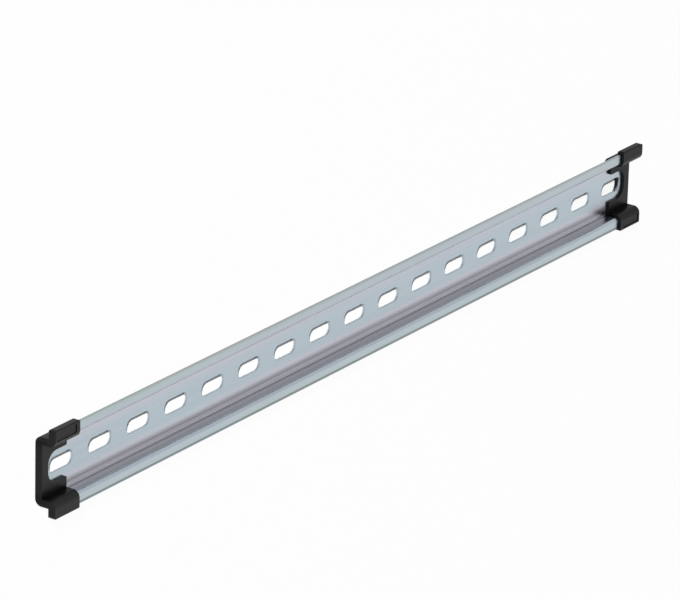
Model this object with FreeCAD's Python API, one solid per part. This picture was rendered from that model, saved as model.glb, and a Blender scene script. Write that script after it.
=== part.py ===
import FreeCAD, Part
import os

os.makedirs("parts", exist_ok=True)

# Perforated top hat mounting rail with a push-on cap over each end.
# Millimetres. X runs along the rail, Y across it, and +Z is the way the channel opens.
# The rail lies on its back: the backs of the caps are at Z = 0, and the part is centred in X and Y.

# Rail, roll-formed from steel strip
rail_width = 35.0
rail_height = 7.5
sheet = 1.0
channel_outside = 27.0
bend_inside = 0.8

# Slots, punched from the open side before forming
slot_count = 17
slot_pitch = 25.0
slot_length = 15.0
slot_width = 6.2
slot_rollover = 0.25

# End caps, injection moulded
cap_wall = 1.2
cap_length = 16.0
fit_gap = 0.1
corner_round = 0.6
hook_round = 1.6
mouth_round = 0.8
front_notch_reach = 3.1
front_notch_half = 6.6
front_notch_corner = 5.2
prong_round = 0.7
back_notch_reach = 5.7
back_notch_half = 5.5
back_notch_corner = 5.0
tongue_reach = 24.5
tongue_round = 1.0
panel_border = 1.0
panel_open_border = 2.0
panel_overlap = 0.4
panel_depth = 0.35
panel_round = 0.9

# Sizes that follow
rail_length = slot_count * slot_pitch
rail_end = rail_length / 2.0
web_back = cap_wall
web_front = web_back + sheet
flange_front = web_back + rail_height
flange_back = flange_front - sheet
wall_outside = channel_outside / 2.0
wall_inside = wall_outside - sheet
flange_edge = rail_width / 2.0
flange_flat = wall_outside + bend_inside
cap_open_end = cap_length - cap_wall
notch_run = cap_length


def rounded_face(corners, axis):
    # Closed outline through the corners, each one an arc of its own radius or a sharp point,
    # as a face square to the X axis or to the Z axis.
    points = []
    for first, second, radius in corners:
        if axis == "x":
            points.append((FreeCAD.Vector(0, first, second), radius))
        else:
            points.append((FreeCAD.Vector(first, second, 0), radius))
    edges = []
    previous_end = None
    first_start = None
    for index, (corner, radius) in enumerate(points):
        before = points[index - 1][0]
        after = points[(index + 1) % len(points)][0]
        back = (before - corner).normalize()
        ahead = (after - corner).normalize()
        start = corner + back * radius
        end = corner + ahead * radius
        if previous_end is not None and (start - previous_end).Length > 1e-6:
            edges.append(Part.makeLine(previous_end, start))
        if radius > 0:
            # the corners are square, so the arc's centre is one radius along both sides
            centre = corner + (back + ahead) * radius
            middle = centre + (corner - centre).normalize() * radius
            edges.append(Part.Arc(start, middle, end).toShape())
        if first_start is None:
            first_start = start
        previous_end = end
    if (first_start - previous_end).Length > 1e-6:
        edges.append(Part.makeLine(previous_end, first_start))
    return Part.Face(Part.Wire(edges))


def hat_face(front, back, edge, edge_round):
    # The rail's section, with its open side, its back and its two edges moved out by these amounts.
    # Every bend keeps its centre, so its radius grows on one side and shrinks on the other.
    inner_bend = max(bend_inside - front, 0.0)
    outer_bend = max(bend_inside - back, 0.0)
    right = [
        (wall_inside - front, web_front + front, inner_bend),
        (wall_inside - front, flange_front + front, bend_inside + sheet + front),
        (flange_edge + edge, flange_front + front, edge_round),
        (flange_edge + edge, flange_back - back, edge_round),
        (wall_outside + back, flange_back - back, outer_bend),
        (wall_outside + back, web_back - back, bend_inside + sheet + back),
    ]
    left = [(-y, z, radius) for y, z, radius in reversed(right)]
    return rounded_face(right + left, "x")


def hat_bar(front, back, edge, edge_round, start, length):
    bar = hat_face(front, back, edge, edge_round).extrude(FreeCAD.Vector(length, 0, 0))
    bar.translate(FreeCAD.Vector(start, 0, 0))
    return bar


def flat_block(corners, bottom, top):
    block = rounded_face(corners, "z").extrude(FreeCAD.Vector(0, 0, top - bottom))
    block.translate(FreeCAD.Vector(0, 0, bottom))
    return block


def slot_cutter(centre):
    radius = slot_width / 2.0
    reach = slot_length / 2.0
    corners = [
        (centre - reach, -radius, radius),
        (centre + reach, -radius, radius),
        (centre + reach, radius, radius),
        (centre - reach, radius, radius),
    ]
    return flat_block(corners, web_back - sheet, web_front + sheet)


def is_slot_rim(edge):
    # True for an edge of a slot where the punch went in: on the web's open side, and clear of its bends.
    box = edge.BoundBox
    on_front = abs(box.ZMin - web_front) < 1e-4 and abs(box.ZMax - web_front) < 1e-4
    return on_front and max(abs(box.YMin), abs(box.YMax)) < slot_width / 2.0 + 1e-4 and (
        box.XMin > -rail_end + 1e-4 and box.XMax < rail_end - 1e-4)


def make_rail():
    rail = hat_bar(0.0, 0.0, 0.0, 0.0, -rail_end, rail_length)
    for index in range(slot_count):
        centre = (index - (slot_count - 1) / 2.0) * slot_pitch
        rail = rail.cut(slot_cutter(centre))
    rims = [edge for edge in rail.Edges if is_slot_rim(edge)]
    return rail.makeChamfer(slot_rollover, rims)


def notch_cutter(reach, half, corner, bottom, top):
    # A notch from the cap's open end, with rounded inner corners. X = 0 is the end of the rail.
    corners = [
        (reach, -half, corner),
        (reach + notch_run, -half, 0.0),
        (reach + notch_run, half, 0.0),
        (reach, half, corner),
    ]
    return flat_block(corners, bottom, top)


def is_prong_tip(edge):
    # True for the short upright edges where the front notch meets the cap's open end.
    box = edge.BoundBox
    upright = box.ZLength > 0.5 * (cap_wall - fit_gap) and box.XLength < 1e-4 and box.YLength < 1e-4
    at_tip = abs(box.XMax - cap_open_end) < 1e-4 and abs(abs(box.YMax) - front_notch_half) < 1e-4
    return upright and at_tip and box.ZMin > web_front


def make_cap():
    # The cap for the rail's left end, first built with the end of the rail at X = 0.
    cap = hat_bar(cap_wall, cap_wall, cap_wall, corner_round, -cap_wall, cap_length)
    end_rim = [edge for edge in cap.Edges if edge.BoundBox.XMax < -cap_wall + 1e-4]
    cap = cap.makeFillet(corner_round, end_rim)

    # the hooks' outer corners are rounded as seen from the front, less so at the open end
    reach_across = flange_edge + cap_wall
    outline = flat_block([
        (-cap_wall, -reach_across, hook_round),
        (cap_open_end, -reach_across, mouth_round),
        (cap_open_end, reach_across, mouth_round),
        (-cap_wall, reach_across, hook_round),
    ], -cap_wall, flange_front + 2.0 * cap_wall)
    cap = cap.common(outline)

    # the lip behind the lower flange runs on past the sleeve as a tongue, as wide as the flange's flat
    tip_round = min(tongue_round, 0.4 * (flange_edge - flange_flat))
    tongue = flat_block([
        (cap_open_end - cap_wall, -flange_edge, 0.0),
        (tongue_reach, -flange_edge, tip_round),
        (tongue_reach, -flange_flat, tip_round),
        (cap_open_end - cap_wall, -flange_flat, 0.0),
    ], flange_back - cap_wall, flange_back)
    cap = cap.fuse(tongue).removeSplitter()

    # the pocket bears on the sheet's back and end, and has its clearance in front of it and past its edges
    pocket = hat_bar(fit_gap, 0.0, fit_gap, 0.0, 0.0, tongue_reach)
    cap = cap.cut(pocket)

    # both plates are cut back round the end slot, so a screw head has room
    cap = cap.cut(notch_cutter(front_notch_reach, front_notch_half, front_notch_corner,
                               web_front - sheet / 2.0, flange_front))
    cap = cap.cut(notch_cutter(back_notch_reach, back_notch_half, back_notch_corner,
                               web_back - 2.0 * cap_wall, web_front - sheet / 2.0))

    # the prongs that the front notch leaves are rounded at their tips
    prong_tips = [edge for edge in cap.Edges if is_prong_tip(edge)]
    cap = cap.makeFillet(prong_round, prong_tips)

    # a shallow bare panel is sunk in the front of the upper hook, down to where its bend begins
    front = flange_front + cap_wall
    panel_low = flange_flat - panel_overlap
    panel_high = flange_edge + cap_wall - panel_border
    panel_start = panel_border - cap_wall
    panel_end = cap_open_end - panel_open_border
    panel_corner = min(panel_round, 0.4 * (panel_high - panel_low))
    panel = flat_block([
        (panel_start, panel_low, panel_corner),
        (panel_end, panel_low, panel_corner),
        (panel_end, panel_high, panel_corner),
        (panel_start, panel_high, panel_corner),
    ], front - panel_depth, front + panel_depth)
    cap = cap.cut(panel)
    cap.translate(FreeCAD.Vector(-rail_end, 0, 0))
    return cap


rail = make_rail()
end_cap_left = make_cap()

# the same moulding, turned half round to face the other way
end_cap_right = end_cap_left.copy()
end_cap_right.rotate(FreeCAD.Vector(0, 0, 0), FreeCAD.Vector(0, 0, 1), 180)

rail.exportStep("parts/rail.step")
end_cap_left.exportStep("parts/end_cap_left.step")
end_cap_right.exportStep("parts/end_cap_right.step")
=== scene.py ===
import math

import bpy
from mathutils import Matrix, Vector


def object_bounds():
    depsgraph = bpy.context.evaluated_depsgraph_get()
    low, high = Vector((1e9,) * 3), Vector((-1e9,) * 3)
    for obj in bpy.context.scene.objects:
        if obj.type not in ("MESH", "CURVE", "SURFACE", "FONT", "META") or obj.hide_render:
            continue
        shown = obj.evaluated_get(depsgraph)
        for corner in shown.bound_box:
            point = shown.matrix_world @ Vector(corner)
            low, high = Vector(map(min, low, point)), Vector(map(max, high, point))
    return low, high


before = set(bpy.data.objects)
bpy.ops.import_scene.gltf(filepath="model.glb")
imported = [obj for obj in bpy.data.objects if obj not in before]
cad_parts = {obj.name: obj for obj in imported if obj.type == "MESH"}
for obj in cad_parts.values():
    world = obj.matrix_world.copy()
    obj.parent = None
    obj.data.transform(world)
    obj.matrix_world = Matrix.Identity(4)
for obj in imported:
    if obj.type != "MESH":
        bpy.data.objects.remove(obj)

cad_low, cad_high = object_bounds()
scene = bpy.context.scene

# Camera, in metres. The rail lies on its back, so the photograph's upward direction is about +Y.
EYE = Vector((-1.72589, 0.81583, 1.17829))
AIM = Vector((-0.010958, 0.010125, 0.0022))
ROLL = math.radians(1.552)
SENSOR = 36.0
LENS = 284.18
CLIP_NEAR = 0.05
CLIP_FAR = 60.0

# Colours, linear
ZINC = (0.455, 0.527, 0.578)
ZINC_VIOLET = (0.53, 0.53, 0.61)
ZINC_GREEN = (0.455, 0.520, 0.540)
# painted highlight colour for the rosy strips at the lower fold and the upper bend
ZINC_ROSE_HIGHLIGHT = (0.595, 0.580, 0.630)
# greyer wall zinc, a little darker as painted shade near the web
ZINC_WALL = (0.475, 0.485, 0.51)
ZINC_WALL_HIGH = (0.465, 0.515, 0.545)
PLASTIC = (0.0035, 0.0035, 0.0038)
# painted shade for the deep corner between the plate and the hook of the caps
PLASTIC_CREASE_SHADE = (0.0005, 0.0005, 0.0006)
WHITE = (1.0, 1.0, 1.0)

# Noises, with their scales along the rail, across it and upward
DRIFT = {"scales": (6.0, 40.0, 40.0), "detail": 3.0}
STREAKS = {"scales": (25.0, 2500.0, 2500.0), "detail": 3.0, "roughness": 0.6}
GRAIN = {"scales": (900.0, 2600.0, 2600.0)}
CLOUDS = {"scales": (90.0, 90.0, 90.0), "detail": 3.0}
SPARKS = {"scales": (4500.0, 4500.0, 4500.0), "roughness": 0.6}
PAPER_SCALE = 3.0

# What a noise sets, as stops of (noise, value)
DRIFT_VIOLET = [(0.30, 0.35), (0.70, 1.0)]
STREAK_SHADE = [(0.25, 0.93), (0.75, 1.05)]
ZINC_ROUGH = [(0.3, 0.22), (0.7, 0.32)]
PLASTIC_ROUGH = [(0.3, 0.28), (0.7, 0.36)]
PAPER_TONE = [(0.0, 0.49), (1.0, 0.51)]

# Surfaces, with lengths in metres
DRIFT_IN_ROUGH = 0.5
STREAKS_IN_RELIEF = 0.6
ZINC_BUMP = 0.25
ZINC_BUMP_DEPTH = 0.00002
PLASTIC_BUMP = 0.3
PLASTIC_BUMP_DEPTH = 0.00003
PLASTIC_DARKER = 0.85
PLASTIC_LIGHTER = 1.25
# the right cap has less sheen than the left: a shaded copy of the same plastic, which paints it darker
LEFT_SHEEN = 0.21
RIGHT_SHEEN_SHADED = 0.13
SLOT_RIM_HEIGHT = 0.00218
SLOT_REACH = 0.0032
PUNCHED_LOSS = 0.12

# Bands on the surfaces, as stops of (place in mm, value). Before the first stop and after the last one the
# value stays. SIDE is measured from the rail's middle to either edge, UP from the middle toward the upper
# edge, and HEIGHT from the floor. Each kind has the span, in mm, that its ramps are drawn over. The values
# are set until the render looks like the photograph. Many of the bands are no marks on the zinc but
# painted light: painted highlights, painted shade, and painted reflections of the surroundings.
SIDE_SPAN = (0.0, 17.5)
UP_SPAN = (-18.0, 18.0)
HEIGHT_SPAN = (0.0, 10.0)
CAP_SPAN = (0.0, 20.0)
RUN_SPAN = (0.0, 27.0)

SIDE_VIOLET = [(4.9, 0.0), (8.05, 1.0), (10.15, 0.8), (12.25, 0.5), (14.0, 0.0)]
SIDE_GREEN = [(14.0, 0.0), (16.1, 1.0)]
# where the wall's grey zinc with its painted shade lies
SIDE_WALL = [(12.16, 0.0), (12.5, 1.0), (13.49, 1.0), (14.0, 0.0)]
HEIGHT_WALL = [(6.9, 1.0), (7.8, 0.0)]
HEIGHT_WALL_TOP = [(4.0, 0.0), (6.6, 1.0)]
# painted shade: where the caps' deep corner is blacker
CAP_SIDE_CREASE_SHADE = [(8.4, 0.0), (11.0, 1.0), (13.3, 1.0), (13.5, 0.0)]
CAP_HEIGHT_CREASE_SHADE = [(5.0, 1.0), (7.5, 0.0)]

# rosy painted highlights: at the lower fold and the web beside it, then at the upper bend
UP_ROSE_HIGHLIGHT = [
    (-12.6, 0.0), (-12.38, 0.3), (-11.52, 1.0), (-8.57, 1.0), (-7.92, 0.5), (-7.2, 0.25), (-6.12, 0.0),
    (12.42, 0.0), (12.89, 0.6), (13.86, 0.6), (14.58, 0.0)]

# darker along the slit edges, and at the upper bend a painted highlight beside a painted shade line
UP_EDGES_AND_PAINTED_BEND_LIGHT = [
    (-18.0, 0.95), (-17.35, 0.85), (-17.06, 0.43), (-16.7, 0.43), (-16.34, 0.70), (-16.13, 1.0),
    (12.53, 1.0), (12.64, 1.55), (12.96, 1.55), (13.54, 0.84), (14.04, 0.84), (14.47, 1.0),
    (16.49, 1.0), (16.85, 0.92), (17.14, 0.84), (17.46, 0.80), (17.5, 1.31)]

# RUN is the height less UP, so it grows all along the strip's lower side, from the rail's middle over the
# web, the fold, the wall and the bend to the flange. No value goes over about 1.58, where the rosy zinc
# sends back all the light that it gets.
# painted light along the lower side: painted shade on the web beside the fold, a painted highlight with a
# painted shade line at the fold, painted shade on the wall and a painted highlight at the bend
RUN_WEB_PAINTED_LIGHT = [(8.0, 1.0), (8.6, 1.03), (9.2, 1.04), (9.85, 1.02), (10.4, 0.93), (10.8, 0.83), (11.6, 0.83)]
RUN_FOLD_PAINTED_LIGHT = [
    (12.3, 0.88), (12.57, 1.08), (12.8, 1.47), (13.0, 1.57), (13.92, 1.57), (14.06, 1.15), (14.2, 0.66),
    (14.4, 0.51), (14.85, 0.53)]
RUN_WALL_PAINTED_SHADE = [(15.2, 0.63), (15.7, 0.72), (16.3, 0.71), (17.2, 0.75), (18.4, 0.86), (19.4, 1.0)]
RUN_BEND_PAINTED_LIGHT = [(19.8, 1.42), (20.3, 1.36), (20.9, 1.05), (21.9, 0.93), (22.7, 1.02), (24.6, 1.02), (27.0, 1.0)]
RUN_PAINTED_LIGHT = RUN_WEB_PAINTED_LIGHT + RUN_FOLD_PAINTED_LIGHT + RUN_WALL_PAINTED_SHADE + RUN_BEND_PAINTED_LIGHT

# Studio, in metres
FLOOR_HALF = 6.0
FLOOR_GAP = 0.00002
SHADE_HALF_LENGTH = 0.209
SHADE_HALF_WIDTH = 0.007
PAPER_UNDER_RAIL = (0.96, 0.96, 0.96)
CAMERA_SHARE = 0.97
GLOSS_SHARE = 0.3
SKY_DIFFUSE = 0.2
FAR_DIM = 0.2
KEY_PLACE = (-3.64, 2.60, 2.20)
KEY_SIZE = 0.32
KEY_STRENGTH = 480.0


class Nodes:
    """A short way to write a node tree: add a node, set its values, and link sockets."""

    def __init__(self, owner):
        owner.use_nodes = True
        self.tree = owner.node_tree
        self.tree.nodes.clear()

    def add(self, kind, inputs=None, **settings):
        node = self.tree.nodes.new(kind)
        for name, value in settings.items():
            setattr(node, name, value)
        for name, value in (inputs or {}).items():
            socket = node.inputs[name]
            if isinstance(value, bpy.types.NodeSocket):
                self.tree.links.new(value, socket)
            else:
                socket.default_value = value
        return node

    def math(self, operation, first, second=0.0, third=0.0):
        node = self.add("ShaderNodeMath", {0: first, 1: second, 2: third}, operation=operation)
        return node.outputs[0]

    def mix_colour(self, factor, first, second):
        node = self.add("ShaderNodeMix", {0: factor, 6: first, 7: second}, data_type="RGBA")
        return node.outputs[2]

    def blend(self, first, second, first_share):
        first_part = self.math("MULTIPLY", first, first_share)
        second_part = self.math("MULTIPLY", second, 1.0 - first_share)
        return self.math("ADD", first_part, second_part)

    def noise(self, place, scale, detail=2.0, roughness=0.5):
        node = self.add("ShaderNodeTexNoise", {
            "Vector": place, "Scale": scale, "Detail": detail, "Roughness": roughness})
        return node.outputs["Fac"]

    def stretched_noise(self, place, scales, detail=2.0, roughness=0.5):
        mapping = self.add("ShaderNodeMapping", {"Vector": place, "Scale": scales})
        return self.noise(mapping.outputs["Vector"], 1.0, detail, roughness)

    def ramp(self, factor, stops):
        node = self.add("ShaderNodeValToRGB", {"Fac": factor})
        elements = node.color_ramp.elements
        while len(elements) < len(stops):
            elements.new(0.5)
        for element, (position, value) in zip(elements, stops):
            element.position = position
            element.color = (value, value, value, 1.0)
        return node.outputs["Color"]

    def bands(self, length, span, stops):
        """A ramp over a length in metres, with its span and the places of its stops in mm."""
        low, high = span
        reach = high - low
        share = self.math("MULTIPLY_ADD", length, 1000.0 / reach, -low / reach)
        return self.ramp(share, [((place - low) / reach, value) for place, value in stops])

    def bump(self, height, strength, depth):
        node = self.add("ShaderNodeBump", {"Height": height, "Strength": strength, "Distance": depth})
        return node.outputs["Normal"]

    def object_place(self):
        return self.add("ShaderNodeTexCoord").outputs["Object"]

    def output(self, shader, kind="ShaderNodeOutputMaterial"):
        self.add(kind, {"Surface": shader})


def rgba(colour):
    return (*colour, 1.0)


def within(n, value, half):
    """1 where the value lies between minus half and half, else 0."""
    return n.math("LESS_THAN", n.math("ABSOLUTE", value), half)


def zinc_colour(n, up, height, drift):
    """A cloudy passivation that drifts between blue, violet and green, with bands that run along the rail,
    rosy painted highlights at the folds and some painted shade on the walls.
    """
    side = n.math("ABSOLUTE", up)

    # violet bands lie on the web at both sides of the slots, and the flanges lean to green
    violet = n.math("MULTIPLY", n.bands(side, SIDE_SPAN, SIDE_VIOLET), n.ramp(drift, DRIFT_VIOLET))
    colour = n.mix_colour(violet, rgba(ZINC), rgba(ZINC_VIOLET))
    colour = n.mix_colour(n.bands(side, SIDE_SPAN, SIDE_GREEN), colour, rgba(ZINC_GREEN))
    # rosy painted highlights at the lower fold and the upper bend
    colour = n.mix_colour(n.bands(up, UP_SPAN, UP_ROSE_HIGHLIGHT), colour, rgba(ZINC_ROSE_HIGHLIGHT))

    # the walls of the channel are greyer, with painted shade that makes them a little darker near the web,
    # and bluer toward their top
    wall = n.math("MULTIPLY", n.bands(side, SIDE_SPAN, SIDE_WALL), n.bands(height, HEIGHT_SPAN, HEIGHT_WALL))
    wall_top = n.bands(height, HEIGHT_SPAN, HEIGHT_WALL_TOP)
    wall_colour = n.mix_colour(wall_top, rgba(ZINC_WALL), rgba(ZINC_WALL_HIGH))
    return n.mix_colour(wall, colour, wall_colour)


def zinc_streaks_and_painted_light(n, up, height, streaks):
    """How much of its colour the strip sends back, with painted light: less in the drawn lines, along the
    slit edges and on the walls and rims of the slots, painted shade beside the lower fold and on the wall,
    and painted highlights at the folds and bends."""
    shade = n.ramp(streaks, STREAK_SHADE)
    # darker along the slit edges, and a painted highlight beside a painted shade line at the upper bend
    shade = n.math("MULTIPLY", shade, n.bands(up, UP_SPAN, UP_EDGES_AND_PAINTED_BEND_LIGHT))
    # painted shade and painted highlights along the lower side, over the web, the fold, the wall and the bend
    run = n.math("SUBTRACT", height, up)
    shade = n.math("MULTIPLY", shade, n.bands(run, RUN_SPAN, RUN_PAINTED_LIGHT))
    # darker on the walls and rims of the slots
    low = n.math("LESS_THAN", height, SLOT_RIM_HEIGHT)
    punched = n.math("MULTIPLY", low, within(n, up, SLOT_REACH))
    return n.math("MULTIPLY", shade, n.math("MULTIPLY_ADD", punched, -PUNCHED_LOSS, 1.0))


def zinc_material():
    """Zinc-plated strip with drawn lines along the rail, and bands across it that are partly painted
    highlights and painted shade.
    """
    material = bpy.data.materials.new("zinc_plated_steel")
    n = Nodes(material)
    place = n.object_place()
    split = n.add("ShaderNodeSeparateXYZ", {"Vector": place})
    up = split.outputs["Y"]
    height = split.outputs["Z"]
    drift = n.stretched_noise(place, **DRIFT)
    streaks = n.stretched_noise(place, **STREAKS)
    grain = n.stretched_noise(place, **GRAIN)

    colour = zinc_colour(n, up, height, drift)
    shade = zinc_streaks_and_painted_light(n, up, height, streaks)
    shaded = n.add("ShaderNodeVectorMath", {0: colour, 1: shade}, operation="MULTIPLY").outputs[0]
    rough = n.ramp(n.blend(drift, streaks, DRIFT_IN_ROUGH), ZINC_ROUGH)
    relief = n.blend(streaks, grain, STREAKS_IN_RELIEF)
    shader = n.add("ShaderNodeBsdfPrincipled", {
        "Base Color": shaded, "Roughness": rough, "Metallic": 1.0,
        "Normal": n.bump(relief, ZINC_BUMP, ZINC_BUMP_DEPTH)})
    n.output(shader.outputs["BSDF"])
    return material


def plastic_material(name, sheen):
    """Black moulding with a fine spark-eroded grain, a little shinier where it is smoother, and with painted
    shade that makes it blacker in the deep corner between the plate and the hook."""
    material = bpy.data.materials.new(name)
    n = Nodes(material)
    place = n.object_place()
    split = n.add("ShaderNodeSeparateXYZ", {"Vector": place})
    clouds = n.stretched_noise(place, **CLOUDS)
    sparks = n.stretched_noise(place, **SPARKS)

    darker = rgba([part * PLASTIC_DARKER for part in PLASTIC])
    lighter = rgba([part * PLASTIC_LIGHTER for part in PLASTIC])
    colour = n.mix_colour(clouds, darker, lighter)
    side = n.math("ABSOLUTE", split.outputs["Y"])
    # painted shade in the deep corner between the plate and the hook
    crease_shade = n.math("MULTIPLY", n.bands(side, CAP_SPAN, CAP_SIDE_CREASE_SHADE),
                    n.bands(split.outputs["Z"], HEIGHT_SPAN, CAP_HEIGHT_CREASE_SHADE))
    colour = n.mix_colour(crease_shade, colour, rgba(PLASTIC_CREASE_SHADE))
    rough = n.ramp(clouds, PLASTIC_ROUGH)
    shader = n.add("ShaderNodeBsdfPrincipled", {
        "Base Color": colour, "Roughness": rough, "Specular IOR Level": sheen,
        "Normal": n.bump(sparks, PLASTIC_BUMP, PLASTIC_BUMP_DEPTH)})
    n.output(shader.outputs["BSDF"])
    return material


def floor_material():
    """White paper. The camera sees it nearly evenly white, but for the strip that lies under the rail, where
    the light that falls through the slots makes bright patches with shaded edges."""
    material = bpy.data.materials.new("studio_floor")
    n = Nodes(material)
    place = n.object_place()
    split = n.add("ShaderNodeSeparateXYZ", {"Vector": place})
    under = n.math("MULTIPLY", within(n, split.outputs["X"], SHADE_HALF_LENGTH),
                   within(n, split.outputs["Y"], SHADE_HALF_WIDTH))
    tone = n.ramp(n.noise(place, PAPER_SCALE), PAPER_TONE)
    tone = n.mix_colour(under, tone, rgba(PAPER_UNDER_RAIL))
    paper = n.add("ShaderNodeBsdfDiffuse", {"Color": tone})
    white = n.add("ShaderNodeEmission", {"Color": rgba(WHITE), "Strength": 1.0})
    path = n.add("ShaderNodeLightPath")
    to_camera = n.math("MULTIPLY", path.outputs["Is Camera Ray"], CAMERA_SHARE)
    to_gloss = n.math("MULTIPLY", path.outputs["Is Glossy Ray"], GLOSS_SHARE)
    open_floor = n.math("SUBTRACT", 1.0, under)
    share = n.math("MULTIPLY", n.math("MAXIMUM", to_camera, to_gloss), open_floor)
    mixed = n.add("ShaderNodeMixShader", {0: share, 1: paper.outputs[0], 2: white.outputs[0]})
    n.output(mixed.outputs[0])
    return material


def studio_world():
    """White for the camera and in the metal, where it dims a little toward the far side (+Y), and dimmer as a
    light on dull surfaces."""
    world = bpy.data.worlds.new("studio")
    scene.world = world
    n = Nodes(world)
    path = n.add("ShaderNodeLightPath")
    mirrored = n.math("MAXIMUM", path.outputs["Is Glossy Ray"], path.outputs["Is Transmission Ray"])
    seen = n.math("MAXIMUM", path.outputs["Is Camera Ray"], mirrored)
    direction = n.add("ShaderNodeTexCoord").outputs["Generated"]
    aim = n.add("ShaderNodeSeparateXYZ", {"Vector": direction})
    far = n.ramp(aim.outputs["Y"], [(0.0, 0.0), (0.5, FAR_DIM)])
    dim = n.math("MULTIPLY", far, path.outputs["Is Glossy Ray"])
    strength = n.math("ADD", n.math("MULTIPLY", seen, 1.0 - SKY_DIFFUSE), SKY_DIFFUSE)
    strength = n.math("SUBTRACT", strength, dim)
    background = n.add("ShaderNodeBackground", {"Color": rgba(WHITE), "Strength": strength})
    n.output(background.outputs[0], "ShaderNodeOutputWorld")


def dress(node, material):
    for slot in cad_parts[node].material_slots:
        slot.material = material


def add_floor():
    mesh = bpy.data.meshes.new("floor")
    z = cad_low.z - FLOOR_GAP
    corners = [(-FLOOR_HALF, -FLOOR_HALF, z), (FLOOR_HALF, -FLOOR_HALF, z),
               (FLOOR_HALF, FLOOR_HALF, z), (-FLOOR_HALF, FLOOR_HALF, z)]
    mesh.from_pydata(corners, [], [(0, 1, 2, 3)])
    mesh.materials.append(floor_material())
    floor = bpy.data.objects.new("floor", mesh)
    scene.collection.objects.link(floor)


def add_key_lamp():
    """A small lamp at the photograph's upper left, which aims at the origin. The metal doesn't mirror it."""
    data = bpy.data.lights.new("key", "AREA")
    data.shape = "DISK"
    data.size = KEY_SIZE
    data.energy = KEY_STRENGTH
    lamp = bpy.data.objects.new("key", data)
    lamp.location = KEY_PLACE
    lamp.rotation_mode = "QUATERNION"
    lamp.rotation_quaternion = (-Vector(KEY_PLACE)).to_track_quat("-Z", "Y")
    lamp.visible_glossy = False
    scene.collection.objects.link(lamp)


def add_camera():
    data = bpy.data.cameras.new("camera")
    data.sensor_width = SENSOR
    data.lens = LENS
    data.clip_start = CLIP_NEAR
    data.clip_end = CLIP_FAR
    camera = bpy.data.objects.new("camera", data)
    ahead = (AIM - EYE).normalized()
    right = ahead.cross(Vector((0, 1, 0))).normalized()
    up = right.cross(ahead)
    turned_right = right * math.cos(ROLL) + up * math.sin(ROLL)
    turned_up = turned_right.cross(ahead)
    axes = Matrix((turned_right, turned_up, -ahead)).transposed().to_4x4()
    camera.matrix_world = Matrix.Translation(EYE) @ axes
    scene.collection.objects.link(camera)
    scene.camera = camera


dress("rail", zinc_material())
dress("end_cap_left", plastic_material("black_plastic_left", LEFT_SHEEN))
# the right cap's copy of the plastic has less sheen, which paints it darker as shade
dress("end_cap_right", plastic_material("black_plastic_right_shaded", RIGHT_SHEEN_SHADED))

add_floor()
studio_world()
add_key_lamp()
add_camera()
scene.view_settings.view_transform = "Standard"
